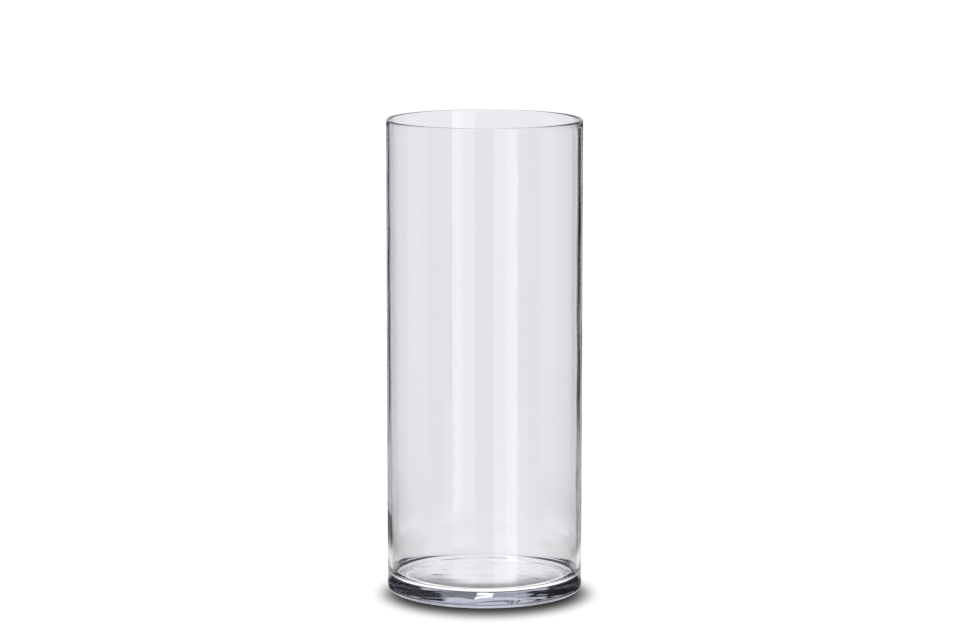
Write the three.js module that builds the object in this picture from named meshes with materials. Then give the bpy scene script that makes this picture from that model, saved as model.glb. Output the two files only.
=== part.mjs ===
// A straight-sided clear glass cylinder vase, blown in a turn mould as one piece of glass.
// Millimetres, +Z up. The origin is the centre of the foot, on the surface that the vase stands on.
// The vase is one closed solid of revolution: a thick base that carries a thin wall up to an open mouth.

import * as THREE from 'three';

// Driving dimensions.
const height = 304;
const outerRadius = 62.5;
const wallAtRim = 2.1;
const wallAtFoot = 2.5;
const floorThickness = 9.2; // from the foot's plane to the edge of the inner floor
const floorCrown = 0.6; // how far the inner floor rises towards its middle
const floorFilletRadius = 7; // rounded corner between the inner floor and the wall
const heelRadius = 2.5; // rounded corner between the foot and the outside of the wall
const footRingWidth = 6; // flat ring that the vase stands on
const pushUp = 1.4; // how far the middle of the underside stands above the foot's plane
const stepHeight = 1.0; // rounded step from the foot ring up to the hollow underside
const stepWidth = 3;

// Facets: around the axis, and along each round stretch of the outline.
const segmentsAround = 72;
const domeSteps = 4;
const footStepSteps = 4;
const heelSteps = 4;
const rimSteps = 8;
const filletSteps = 6;
const wallSteps = 4;

const footOuterRadius = outerRadius - heelRadius;
const footInnerRadius = footOuterRadius - footRingWidth;
const rimRadius = wallAtRim / 2; // the rim is fire-polished to a full round
const rimCentreRadius = outerRadius - rimRadius;
const rimCentreHeight = height - rimRadius;
const innerRadiusAtRim = outerRadius - wallAtRim;
const innerRadiusAtFoot = outerRadius - wallAtFoot;
const filletCentreRadius = innerRadiusAtFoot - floorFilletRadius;
const filletCentreHeight = floorThickness + floorFilletRadius;

const quarterTurn = Math.PI / 2;

// Points along a round stretch of the outline, both ends included.
function arc(centreRadius, centreHeight, radius, startAngle, endAngle, steps) {
  const points = [];
  for (let i = 0; i <= steps; i += 1) {
    const angle = THREE.MathUtils.lerp(startAngle, endAngle, i / steps);
    const r = centreRadius + radius * Math.cos(angle);
    const z = centreHeight + radius * Math.sin(angle);
    points.push(new THREE.Vector2(r, z));
  }
  return points;
}

// Points along a shallow dome that falls by rise from the axis to edgeRadius, from the axis outwards.
function dome(edgeRadius, edgeHeight, rise, steps) {
  const sphereRadius = (edgeRadius ** 2 + rise ** 2) / (2 * rise);
  const sphereCentre = edgeHeight + rise - sphereRadius;
  const points = [];
  for (let i = 0; i <= steps; i += 1) {
    const r = (edgeRadius * i) / steps;
    const z = sphereCentre + Math.sqrt(sphereRadius ** 2 - r ** 2);
    points.push(new THREE.Vector2(r, z));
  }
  return points;
}

// Points between the two ends of a straight wall, the ends left out.
function alongWall(start, end, steps) {
  const points = [];
  for (let i = 1; i < steps; i += 1) {
    points.push(new THREE.Vector2().lerpVectors(start, end, i / steps));
  }
  return points;
}

// Points down the rounded step from the hollow underside to the foot ring, the upper end left out.
function footStep(edgeRadius, width, rise, steps) {
  const points = [];
  for (let i = 1; i <= steps; i += 1) {
    const z = (rise / 2) * (1 + Math.cos((Math.PI * i) / steps));
    points.push(new THREE.Vector2(edgeRadius - width * (1 - i / steps), z));
  }
  return points;
}

// The outline runs from the axis under the foot, up the outside, over the rim, down the inside and
// back to the axis on the inner floor.
function vaseOutline() {
  const underside = dome(footInnerRadius - stepWidth, stepHeight, pushUp - stepHeight, domeSteps);
  const heel = arc(footOuterRadius, heelRadius, heelRadius, -quarterTurn, 0, heelSteps);
  const rim = arc(rimCentreRadius, rimCentreHeight, rimRadius, 0, 2 * quarterTurn, rimSteps);
  const innerFoot = new THREE.Vector2(innerRadiusAtFoot, filletCentreHeight);
  const innerRim = new THREE.Vector2(innerRadiusAtRim, rimCentreHeight);
  const fillet = arc(
    filletCentreRadius, filletCentreHeight, floorFilletRadius, 0, -quarterTurn, filletSteps);
  const innerFloor = dome(filletCentreRadius, floorThickness, floorCrown, domeSteps).reverse();
  return [
    ...underside,
    ...footStep(footInnerRadius, stepWidth, stepHeight, footStepSteps),
    ...heel,
    ...alongWall(heel.at(-1), rim[0], wallSteps),
    ...rim,
    ...alongWall(innerRim, innerFoot, wallSteps),
    ...fillet,
    ...innerFloor.slice(1), // the fillet already ends on the floor's edge
  ];
}

const clearGlass = new THREE.MeshStandardMaterial({
  name: 'clear_glass',
  color: 0xeef2f4,
  roughness: 0.04,
  metalness: 0,
  transparent: true,
  opacity: 0.35,
});

// A lathe turns its outline about Y, so the body is tipped up to stand along Z.
const glassBody = new THREE.Mesh(new THREE.LatheGeometry(vaseOutline(), segmentsAround), clearGlass);
glassBody.name = 'glass_body';
glassBody.rotation.x = quarterTurn;

const glassCylinderVase = new THREE.Group();
glassCylinderVase.add(glassBody);

export default glassCylinderVase;
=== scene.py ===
"""A clear glass cylinder vase: the fine glass body, its material, and a plain pale studio around it.

Metres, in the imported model's own frame: +Z up, origin at the centre of the foot.
"""
import math

import bpy
import numpy as np
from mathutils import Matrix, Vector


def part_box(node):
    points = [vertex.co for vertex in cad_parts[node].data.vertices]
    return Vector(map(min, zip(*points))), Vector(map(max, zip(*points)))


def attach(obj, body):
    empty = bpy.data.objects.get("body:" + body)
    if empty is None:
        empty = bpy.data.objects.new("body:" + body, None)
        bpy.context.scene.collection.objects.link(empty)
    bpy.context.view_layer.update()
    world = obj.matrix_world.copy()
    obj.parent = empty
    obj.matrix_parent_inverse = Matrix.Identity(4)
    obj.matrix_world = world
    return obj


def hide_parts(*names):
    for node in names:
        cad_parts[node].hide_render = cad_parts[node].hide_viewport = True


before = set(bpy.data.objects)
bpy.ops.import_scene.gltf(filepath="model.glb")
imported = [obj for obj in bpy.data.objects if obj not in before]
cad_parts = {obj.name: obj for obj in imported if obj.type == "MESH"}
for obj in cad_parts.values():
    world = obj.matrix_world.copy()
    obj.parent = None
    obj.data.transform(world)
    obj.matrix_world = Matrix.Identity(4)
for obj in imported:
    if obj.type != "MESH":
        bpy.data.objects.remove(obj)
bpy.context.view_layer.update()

# ---------------------------------------------------------------- driving dimensions

LOW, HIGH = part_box("glass_body")
HEIGHT = HIGH.z - LOW.z
OUTER_RADIUS = (HIGH.x - LOW.x) / 2
MM = 0.001
WALL_AT_RIM = 2.1 * MM
WALL_AT_FOOT = 2.5 * MM
FLOOR_THICKNESS = 9.2 * MM
FLOOR_CROWN = 0.6 * MM
FLOOR_FILLET_RADIUS = 7.0 * MM
HEEL_RADIUS = 2.5 * MM
FOOT_RING_WIDTH = 6.0 * MM
PUSH_UP = 1.4 * MM
STEP_WIDTH = 3.0 * MM
STEP_HEIGHT = 1.0 * MM

SEGMENTS_AROUND = 320

# Unevenness of the blown glass: how far the skin strays from the true outline.
OFF_CENTRE_AT_FOOT = 0.2 * MM
OFF_CENTRE_MORE_AT_RIM = 0.4 * MM
RING_SWING = 0.02 * MM
RING_SPACING = 9 * MM
LINE_SWING = 0.003 * MM
LINES = ((17, 0.4), (29, 2.0), (43, 4.1))  # how many round the wall, and phase
PATCH_SWING = 0.015 * MM
PATCHES = ((3, 0.11, 0.3), (5, 0.06, 2.1), (7, 0.13, 4.0), (9, 0.05, 1.2))  # round the wall, pitch, phase
OUTSIDE_SHARE = 0.4  # the outside, shaped by the mould, is smoother than the inside
CLOUD_SWING = 0.09 * MM
RIPPLE_SWING = 0.045 * MM

# ---------------------------------------------------------------- outline of the glass


def arc(centre_r, centre_z, radius, start, end, steps):
    """Points along a round stretch of the outline, both ends included."""
    angle = np.linspace(start, end, steps + 1)
    return np.stack([centre_r + radius * np.cos(angle), centre_z + radius * np.sin(angle)], 1)


def dome(edge_r, edge_z, rise, steps):
    """Points along a shallow dome from the axis out to its edge."""
    sphere = (edge_r ** 2 + rise ** 2) / (2 * rise)
    r = np.linspace(0, edge_r, steps + 1)
    return np.stack([r, edge_z + rise - sphere + np.sqrt(sphere ** 2 - r ** 2)], 1)


def straight(start, end, steps):
    """Points along a straight stretch, the ends left out."""
    t = np.linspace(0, 1, steps + 1)[1:-1, None]
    return np.asarray(start) * (1 - t) + np.asarray(end) * t


def foot_step(foot_inner, steps):
    """The rounded step from the hollow of the underside down to the foot ring, its ends left out."""
    t = np.linspace(0, 1, steps + 1)[1:-1]
    fall = 0.5 + 0.5 * np.cos(math.pi * t)
    return np.stack([foot_inner - STEP_WIDTH * (1 - t), STEP_HEIGHT * fall], 1)


def vase_outline():
    """The outline from the axis under the foot, up the outside, over the rim and down to the inner floor.

    Returns the points, and for each one which stretch of the glass it belongs to."""
    quarter = math.pi / 2
    foot_outer = OUTER_RADIUS - HEEL_RADIUS
    foot_inner = foot_outer - FOOT_RING_WIDTH
    rim_radius = WALL_AT_RIM / 2
    rim_centre_z = HEIGHT - rim_radius
    inner_at_foot = OUTER_RADIUS - WALL_AT_FOOT
    inner_at_rim = OUTER_RADIUS - WALL_AT_RIM
    fillet_z = FLOOR_THICKNESS + FLOOR_FILLET_RADIUS
    fillet_r = inner_at_foot - FLOOR_FILLET_RADIUS
    stretches = [
        ("underside", dome(foot_inner - STEP_WIDTH, STEP_HEIGHT, PUSH_UP - STEP_HEIGHT, 30)),
        ("step", foot_step(foot_inner, 10)),
        ("foot_ring", straight((foot_inner, 0), (foot_outer, 0), 5)),
        ("heel", arc(foot_outer, HEEL_RADIUS, HEEL_RADIUS, -quarter, 0, 10)),
        ("outside", straight((OUTER_RADIUS, HEEL_RADIUS), (OUTER_RADIUS, rim_centre_z), 70)),
        ("rim", arc(OUTER_RADIUS - rim_radius, rim_centre_z, rim_radius, 0, 2 * quarter, 14)),
        ("inside", straight((inner_at_rim, rim_centre_z), (inner_at_foot, fillet_z), 70)),
        ("fillet", arc(fillet_r, fillet_z, FLOOR_FILLET_RADIUS, 0, -quarter, 16)),
        ("floor", dome(fillet_r, FLOOR_THICKNESS, FLOOR_CROWN, 60)[::-1][1:]),
    ]
    names = [name for name, points in stretches for _ in points]
    return np.concatenate([points for _, points in stretches]), np.array(names)


def lathe(outline, displace):
    """A closed mesh turned about Z. displace(r, z, around) gives the moved r and z of whole rings."""
    rings = outline[1:-1]
    around = np.linspace(0, 2 * math.pi, SEGMENTS_AROUND, endpoint=False)
    r, z = displace(rings[:, 0, None], rings[:, 1, None], around[None, :])
    body = np.stack([r * np.sin(around), -r * np.cos(around), z], 2).reshape(-1, 3)
    poles = np.array([[0, 0, outline[0, 1]], [0, 0, outline[-1, 1]]])
    verts = np.concatenate([body, poles])
    count, n = len(rings), SEGMENTS_AROUND
    faces = []
    for i in range(count - 1):
        for j in range(n):
            k = (j + 1) % n
            faces.append((i * n + j, i * n + k, (i + 1) * n + k, (i + 1) * n + j))
    bottom, top, last = count * n, count * n + 1, (count - 1) * n
    for j in range(n):
        k = (j + 1) % n
        faces.append((bottom, k, j))
        faces.append((top, last + j, last + k))
    return verts, faces


outline, stretch_names = vase_outline()

# ---------------------------------------------------------------- unevenness of the blown glass


def on(name):
    """1 on the rings of one stretch of the outline and 0 elsewhere."""
    return (stretch_names[1:-1, None] == name).astype(float)


def ease(value, start, end):
    """0 at start and 1 at end, smooth between."""
    t = np.clip((value - start) / (end - start), 0, 1)
    return t * t * (3 - 2 * t)


def swell(x, y, seed, shortest, longest, count):
    """A smooth random surface of seeded waves, about -1 to 1. Wavelengths are in metres."""
    rng = np.random.default_rng(seed)
    total = np.zeros(np.broadcast(x, y).shape)
    for _ in range(count):
        length = math.exp(rng.uniform(math.log(shortest), math.log(longest)))
        heading, phase = rng.uniform(0, 2 * math.pi, 2)
        total += np.sin(2 * math.pi * (x * math.cos(heading) + y * math.sin(heading)) / length + phase)
    return total / math.sqrt(count)


def blown_glass(r, z, around):
    """Moves the true outline's rings by what blowing leaves uneven."""
    x, y = r * np.sin(around), -r * np.cos(around)
    up = np.clip(z / HEIGHT, 0, 1)
    from_rim = HEIGHT - z
    inside, outside = on("inside"), on("outside")

    # the inner wall stands a little to one side, more so towards the rim
    across_rim = on("rim") * np.clip((OUTER_RADIUS - r) / WALL_AT_RIM, 0, 1)
    shift = OFF_CENTRE_AT_FOOT + OFF_CENTRE_MORE_AT_RIM * up
    off_centre = -shift * np.sin(around) * (inside * ease(z, 17 * MM, 60 * MM) + across_rim)

    # waves run round the wall near the foot, and faint draw lines and soft patches lie all over it
    wave = np.sin(2 * math.pi * z / RING_SPACING + 1.3 * np.sin(around * 2 + 1))
    rings = RING_SWING * wave * ease(z, 90 * MM, 30 * MM)
    lines = LINE_SWING * sum(np.sin(k * around + phase) for k, phase in LINES)
    patches = PATCH_SWING * sum(np.sin(k * around + 2 * math.pi * z / pitch + phase)
                                for k, pitch, phase in PATCHES)
    below_rim = ease(from_rim, 2 * MM, 12 * MM)
    inner = inside * (rings + lines + patches) * ease(z, 18 * MM, 30 * MM) * below_rim
    outer = outside * OUTSIDE_SHARE * (lines + patches) * ease(z, 3 * MM, 20 * MM) * below_rim
    outer = np.minimum(outer, 0)  # nothing stands out past the true outside

    # the inner floor is rippled where the hot glass settled, more finely towards its sides
    clouds = CLOUD_SWING * swell(x, y, 41, 14 * MM, 40 * MM, 30)
    fine = RIPPLE_SWING * swell(x, y, 23, 6 * MM, 14 * MM, 30) * ease(np.abs(x), 12 * MM, 34 * MM)
    ripple = on("floor") * (clouds + fine) * ease(r, 55 * MM, 46 * MM)
    return r + off_centre + inner + outer, z + ripple


verts, faces = lathe(outline, blown_glass)
mesh = bpy.data.meshes.new("vase_glass")
mesh.from_pydata([tuple(v) for v in verts], [], faces)
mesh.update()
for polygon in mesh.polygons:
    polygon.use_smooth = True
vase = bpy.data.objects.new("vase_glass", mesh)
bpy.context.scene.collection.objects.link(vase)

# ---------------------------------------------------------------- node trees


class Graph:
    """A few short calls for building a node tree."""

    def __init__(self, tree):
        self.nodes, self.links = tree.nodes, tree.links

    def put(self, socket, value):
        """Links a socket to another one, or sets its value."""
        if isinstance(value, bpy.types.NodeSocket):
            self.links.new(value, socket)
        else:
            socket.default_value = value

    def math(self, operation, *values):
        node = self.nodes.new("ShaderNodeMath")
        node.operation = operation
        for socket, value in zip(node.inputs, values):
            self.put(socket, value)
        return node.outputs[0]

    def product(self, first, *others):
        for other in others:
            first = self.math("MULTIPLY", first, other)
        return first

    def step(self, value, start, end):
        """0 at start and 1 at end, smooth between. Start may be above end."""
        node = self.nodes.new("ShaderNodeMapRange")
        node.interpolation_type = "SMOOTHSTEP"
        rising = end > start
        self.put(node.inputs["Value"], value)
        self.put(node.inputs["From Min"], min(start, end))
        self.put(node.inputs["From Max"], max(start, end))
        self.put(node.inputs["To Min"], 0.0 if rising else 1.0)
        self.put(node.inputs["To Max"], 1.0 if rising else 0.0)
        return node.outputs[0]

    def blend(self, factor, a, b):
        """The number a where factor is 0, and b where it is 1."""
        node = self.nodes.new("ShaderNodeMix")
        self.put(node.inputs["Factor"], factor)
        self.put(node.inputs["A"], a)
        self.put(node.inputs["B"], b)
        return node.outputs["Result"]

    def noise(self, place, scale):
        """A smooth 0 to 1 noise over a place. The scale is in features per metre."""
        node = self.nodes.new("ShaderNodeTexNoise")
        self.put(node.inputs["Vector"], place)
        self.put(node.inputs["Scale"], scale)
        self.put(node.inputs["Detail"], 0.0)
        return node.outputs[0]


# ---------------------------------------------------------------- glass

SODA_LIME_IOR = 1.52
DEEP_GLASS = (0.24, 0.28, 0.50, 1)  # what is left of white light, towards blue, deep in the glass
DEEP_GLASS_DENSITY = 5.0
SCUFFED_ROUGHNESS, SCUFF_SCALE = 0.25, 900.0
HAZE_ROUGHNESS, HAZE_SCALE = 0.012, 14.0
SKIN_DEPTH, SKIN_STRENGTH, SKIN_SCALE = 0.03 * MM, 0.2, 55.0

glass = bpy.data.materials.new("clear_glass")
glass.use_nodes = True
g = Graph(glass.node_tree)
principled = g.nodes["Principled BSDF"]
principled.inputs["IOR"].default_value = SODA_LIME_IOR
principled.inputs["Transmission Weight"].default_value = 1.0

place = g.nodes.new("ShaderNodeTexCoord").outputs["Object"]
height_above = g.nodes.new("ShaderNodeSeparateXYZ")
g.put(height_above.inputs[0], place)
# the foot ring is scuffed where it stands, and the rest is polished with a faint haze of handling
haze = g.noise(place, HAZE_SCALE)
on_foot = g.step(height_above.outputs["Z"], 0.25 * MM, 0.05 * MM)
scuffs = g.math("MULTIPLY_ADD", g.noise(place, SCUFF_SCALE), SCUFFED_ROUGHNESS, 0.02)
worn = g.math("MULTIPLY", on_foot, scuffs)
g.put(principled.inputs["Roughness"], g.math("MULTIPLY_ADD", haze, HAZE_ROUGHNESS, worn))
# the glass has a breath of grey that varies slowly
tint = g.nodes.new("ShaderNodeMix")
tint.data_type = "RGBA"
g.put(tint.inputs[0], haze)
g.put(tint.inputs[6], (0.985, 0.99, 0.995, 1))
g.put(tint.inputs[7], (1.0, 1.0, 1.0, 1))
g.put(principled.inputs["Base Color"], tint.outputs[2])
# the skin of the glass is very slightly uneven
skin = g.nodes.new("ShaderNodeBump")
g.put(skin.inputs["Strength"], SKIN_STRENGTH)
g.put(skin.inputs["Distance"], SKIN_DEPTH)
g.put(skin.inputs["Height"], g.noise(place, SKIN_SCALE))
g.put(principled.inputs["Normal"], skin.outputs["Normal"])
absorption = g.nodes.new("ShaderNodeVolumeAbsorption")
absorption.inputs["Color"].default_value = DEEP_GLASS
absorption.inputs["Density"].default_value = DEEP_GLASS_DENSITY
g.put(g.nodes["Material Output"].inputs["Volume"], absorption.outputs[0])
mesh.materials.append(glass)

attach(vase, "root")
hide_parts("glass_body")

# ---------------------------------------------------------------- studio floor

FLOOR_RADIUS = 0.8
FLOOR_DROP = 0.2 * MM
FLOOR_WHITE = 1.09
# painted soft shadow: a blurred disc painted into the floor's glow, pushed towards the front as if lit
# from behind
SHADOW_RADIUS = 65.2 * MM
SHADOW_SHIFT_X = 1.0 * MM
SHADOW_SHIFT_FORWARD = 17.3 * MM
SHADOW_BLUR_FRONT = 11.5 * MM
SHADOW_BLUR_SIDE = 6.0 * MM
LOGISTIC_SLOPE = 1.702  # makes the logistic curve follow a Gaussian blur
# painted glow and shade of the floor as the glass sees it: under the vase, on the ring below its front,
# and beside it
UNDER_GLOW = 0.95
PAINTED_RING_GLOW = 1.25
BESIDE_GLOW = 0.86
PAINTED_CRESCENT_SHADE = 0.8


def length2(g, x, y):
    return g.math("SQRT", g.math("ADD", g.math("MULTIPLY", x, x), g.math("MULTIPLY", y, y)))


def shadow(g, x, y):
    """1 on the open floor, falling to 0 in the depth of the vase's painted soft shadow."""
    x = g.math("SUBTRACT", x, SHADOW_SHIFT_X)
    y = g.math("ADD", y, SHADOW_SHIFT_FORWARD)
    r = length2(g, x, y)
    facing = g.math("POWER", g.math("DIVIDE", y, g.math("ADD", r, 1e-6)), 2.0)
    blur = g.math("MULTIPLY_ADD", facing, SHADOW_BLUR_FRONT - SHADOW_BLUR_SIDE, SHADOW_BLUR_SIDE)
    t = g.math("DIVIDE", g.math("SUBTRACT", r, SHADOW_RADIUS), blur)
    decay = g.math("EXPONENT", g.math("MULTIPLY", t, -LOGISTIC_SLOPE))
    return g.math("DIVIDE", 1.0, g.math("ADD", 1.0, decay))


def painted_glow_through_glass(g, y, r):
    """The floor's painted glow as the glass sees it, with a painted dark crescent of shade under the
    front of the vase.
    """
    crescent = g.product(g.step(r, 12 * MM, 30 * MM), g.step(r, 51 * MM, 48 * MM))
    front = g.step(g.math("DIVIDE", g.math("MULTIPLY", y, -1.0), g.math("MAXIMUM", r, MM)), -0.5, 0.5)
    # painted light: a brighter ring under the front of the foot
    painted_bright_ring = g.product(g.step(r, 48 * MM, 51 * MM), front)
    level = g.math("MULTIPLY_ADD", painted_bright_ring, PAINTED_RING_GLOW - UNDER_GLOW, UNDER_GLOW)
    outside_foot = g.step(r, 60 * MM, 66 * MM)
    level = g.product(level, g.math("MULTIPLY_ADD", outside_foot, BESIDE_GLOW - 1.0, 1.0))
    # painted shade: the crescent under the front of the vase is darkened
    clear_of_painted_shade = g.math("MULTIPLY_ADD", g.product(crescent, front), -PAINTED_CRESCENT_SHADE, 1.0)
    return g.product(level, clear_of_painted_shade)


def cover_through_glass(g, x, y, r):
    """Where the glass sees the floor: where the vase stands and close beside its back."""
    under = g.step(r, OUTER_RADIUS + 1.0 * MM, OUTER_RADIUS - 1.0 * MM)
    to_the_side = g.step(g.math("ABSOLUTE", x), 38 * MM, 46 * MM)
    beside = g.product(to_the_side, g.step(y, 15 * MM, 30 * MM), g.step(r, 170 * MM, 130 * MM))
    return g.math("MAXIMUM", under, beside)


def floor_disc():
    """A pale floor that gives its own light, so it stays the same under any panel of the studio; the
    vase's soft shadow is painted into that light, and so are the glow and shade the glass sees.
    """
    corners = 256
    turn = np.linspace(0, 2 * math.pi, corners, endpoint=False)
    edge = [(FLOOR_RADIUS * math.cos(t), FLOOR_RADIUS * math.sin(t), -FLOOR_DROP) for t in turn]
    disc = bpy.data.meshes.new("studio_floor")
    disc.from_pydata(edge, [], [tuple(range(corners))])
    floor = bpy.data.objects.new("studio_floor", disc)
    bpy.context.scene.collection.objects.link(floor)

    material = bpy.data.materials.new("pale_floor")
    material.use_nodes = True
    g = Graph(material.node_tree)
    g.nodes.remove(g.nodes["Principled BSDF"])
    xyz = g.nodes.new("ShaderNodeSeparateXYZ")
    g.put(xyz.inputs[0], g.nodes.new("ShaderNodeTexCoord").outputs["Object"])
    x, y = xyz.outputs["X"], xyz.outputs["Y"]
    r = length2(g, x, y)
    seen = g.nodes.new("ShaderNodeLightPath").outputs["Is Camera Ray"]
    glow = g.nodes.new("ShaderNodeEmission")
    glow.inputs["Color"].default_value = (1, 1, 1, 1)
    # the camera sees the white floor with the vase's shadow painted into its glow; the glass sees the
    # painted glow and shade
    plain = g.math("MULTIPLY", shadow(g, x, y), FLOOR_WHITE)
    g.put(glow.inputs["Strength"], g.blend(seen, painted_glow_through_glass(g, y, r), plain))
    # the floor melts into the backdrop at its edge
    out_to_edge = g.step(r, 0.75, 0.45)
    clear = g.nodes.new("ShaderNodeBsdfTransparent")
    mix = g.nodes.new("ShaderNodeMixShader")
    g.put(mix.inputs[0], g.blend(seen, cover_through_glass(g, x, y, r), out_to_edge))
    g.put(mix.inputs[1], clear.outputs[0])
    g.put(mix.inputs[2], glow.outputs[0])
    g.put(g.nodes["Material Output"].inputs["Surface"], mix.outputs[0])
    disc.materials.append(material)


floor_disc()

# ---------------------------------------------------------------- studio light

COOL_WHITE = (0.965, 0.968, 1.0, 1)
BACKGROUND_WHITE = 1.07
DARK_ROOM = 0.02
SCREEN_GLOW = 0.92
REFLECTED_LOSS = 0.85  # how much of the low backdrop is missing from reflections in the glass

world = bpy.data.worlds.new("studio")
bpy.context.scene.world = world
world.use_nodes = True
sky = Graph(world.node_tree)
background = world.node_tree.nodes["Background"]
background.inputs["Color"].default_value = COOL_WHITE

split = sky.nodes.new("ShaderNodeSeparateXYZ")
sky.put(split.inputs[0], sky.nodes.new("ShaderNodeTexCoord").outputs["Generated"])
azimuth = sky.math("ARCTAN2", split.outputs["X"], sky.math("MULTIPLY", split.outputs["Y"], -1.0))
elevation = sky.math("ARCSINE", split.outputs["Z"])


def panel(right, left, bottom, top, strength, side_blur=(2, 2), edge_blur=(2, 2)):
    """A soft-edged white panel, in degrees: azimuth 0 is towards -Y, 90 towards +X and 180 towards +Y."""
    rad = math.radians
    centre, half = (right + left) / 2, (left - right) / 2
    off = sky.math("WRAP", sky.math("SUBTRACT", azimuth, rad(centre)), math.pi, -math.pi)
    a = sky.step(off, rad(-half - side_blur[0] / 2), rad(-half + side_blur[0] / 2))
    b = sky.step(off, rad(half + side_blur[1] / 2), rad(half - side_blur[1] / 2))
    c = sky.step(elevation, rad(bottom - edge_blur[0] / 2), rad(bottom + edge_blur[0] / 2))
    d = sky.step(elevation, rad(top + edge_blur[1] / 2), rad(top - edge_blur[1] / 2))
    return sky.product(a, b, c, d, strength)


backdrop = [
    panel(163, 197, -13.2, 6, 0.92, (4, 4), (0.6, 3)),      # back sweep
    panel(150, 210, -13.2, -11, 0.8, (4, 4), (0.6, 3)),     # far edge of the table
]
panels = [
    panel(161, 177, -17.5, -13.2, 0.34, (4, 1), (1, 0.6)),  # table behind, at the camera's right
    panel(183, 199, -17.5, -13.2, 0.50, (1, 4), (1, 0.6)),  # and at its left
    panel(158, 177, -22, -17.5, 0.40, (4, 2), (1, 1)),      # table nearer the vase
    panel(177, 202, -22, -17.5, 0.70, (2, 4), (1, 1)),
    panel(157, 203, -30, -22, 0.72, (4, 4), (1, 1)),
    panel(176.5, 183.5, -30, -17.5, 0.90, (2, 2), (1, 1)),  # its middle
    panel(150, 210, -95, -30, 0.88, (8, 8), (1, 1)),
    panel(-180, 180, -95, -30, 0.45, (0.1, 0.1), (1, 2)),   # table close around the vase
    panel(70, 146, -12, 2, 0.42, (10, 8), (2, 3)),          # the room at both sides
    panel(214, 290, -12, 2, 0.42, (8, 10), (2, 3)),
    panel(130, 230, -4.5, 6, 0.75, (6, 6), (0.8, 2)),       # light round the rim
    panel(150, 210, 5, 30, 0.78, (5, 5), (2, 3)),           # upper sweep
    panel(176.5, 183.5, 5, 30, 0.95, (1, 1), (2, 3)),       # its middle
    panel(60, 152, 16, 95, 0.9, (8, 8), (4, 1)),            # white side walls above the vase
    panel(208, 300, 16, 95, 0.9, (8, 8), (4, 1)),
    panel(11, 40, -95, 35, 1.15, (4, 1), (1, 4)),           # tall softbox at the camera's right
    panel(24, 40, -95, 35, 1.8, (12, 1), (1, 4)),           # and its brighter side
    panel(-80, 80, -95, 30, 0.25, (40, 40), (1, 4)),        # the room in front
    panel(260, 280, -10, 5, 0.6, (3, 3), (1, 2)),           # low screens beyond three corners
    panel(216, 234, -34, -26, 0.9, (3, 3), (1, 2)),
    panel(36, 54, -95, -10, 0.6, (3, 3), (1, 1)),
    panel(-170, 190, 30, 95, 0.95, (1, 1), (3, 1)),         # overhead
]
paths = sky.nodes.new("ShaderNodeLightPath")
low = sky.step(elevation, math.radians(-4.5), math.radians(-5.3))
dimmed = sky.product(paths.outputs["Is Reflection Ray"], low, REFLECTED_LOSS)
through = sky.math("SUBTRACT", 1.0, dimmed)
total = DARK_ROOM
for extra in backdrop:
    total = sky.math("MAXIMUM", total, sky.math("MULTIPLY", extra, through))
for extra in panels:
    total = sky.math("MAXIMUM", total, extra)
# a bright slot low behind the vase, kept for light that turns inside the base
turned = sky.math("GREATER_THAN", paths.outputs["Glossy Depth"], 0.5)
slot = panel(176.5, 183.5, -17.5, -13.2, 1.9, (1, 1), (1, 0.6))
total = sky.math("MAXIMUM", total, sky.math("MULTIPLY", slot, turned))
# straight through the glass, pale screens stand all round, with narrow dark gaps that draw its edges
not_turned = sky.math("LESS_THAN", paths.outputs["Glossy Depth"], 0.5)
straight_on = sky.math("MULTIPLY", paths.outputs["Is Transmission Ray"], not_turned)
off_screen = sky.math("ABSOLUTE", sky.math("WRAP", azimuth, math.pi / 8, -math.pi / 8))
screens = sky.product(sky.step(off_screen, math.radians(19), math.radians(15)), SCREEN_GLOW)
total = sky.math("MAXIMUM", total, sky.math("MULTIPLY", straight_on, screens))
total = sky.math("MAXIMUM", total, sky.math("MULTIPLY", paths.outputs["Is Camera Ray"], BACKGROUND_WHITE))
sky.put(background.inputs["Strength"], total)

# ---------------------------------------------------------------- camera and light paths

CAMERA_DISTANCE = 2.266
CAMERA_HEIGHT = 0.5296
CAMERA_PITCH_DOWN = 8.87
CAMERA_YAW = 0.1226

camera_data = bpy.data.cameras.new("camera")
camera_data.sensor_width = 36.0
camera_data.lens = 135.2
camera = bpy.data.objects.new("camera", camera_data)
camera.location = (0.0, -CAMERA_DISTANCE, CAMERA_HEIGHT)
camera.rotation_euler = (math.radians(90 - CAMERA_PITCH_DOWN), 0.0, math.radians(CAMERA_YAW))
scene = bpy.context.scene
scene.collection.objects.link(camera)
scene.camera = camera
scene.view_settings.view_transform = "Standard"
# light turns several times inside the thick base before it leaves
scene.cycles.max_bounces = 14
scene.cycles.glossy_bounces = 6
scene.cycles.transmission_bounces = 12
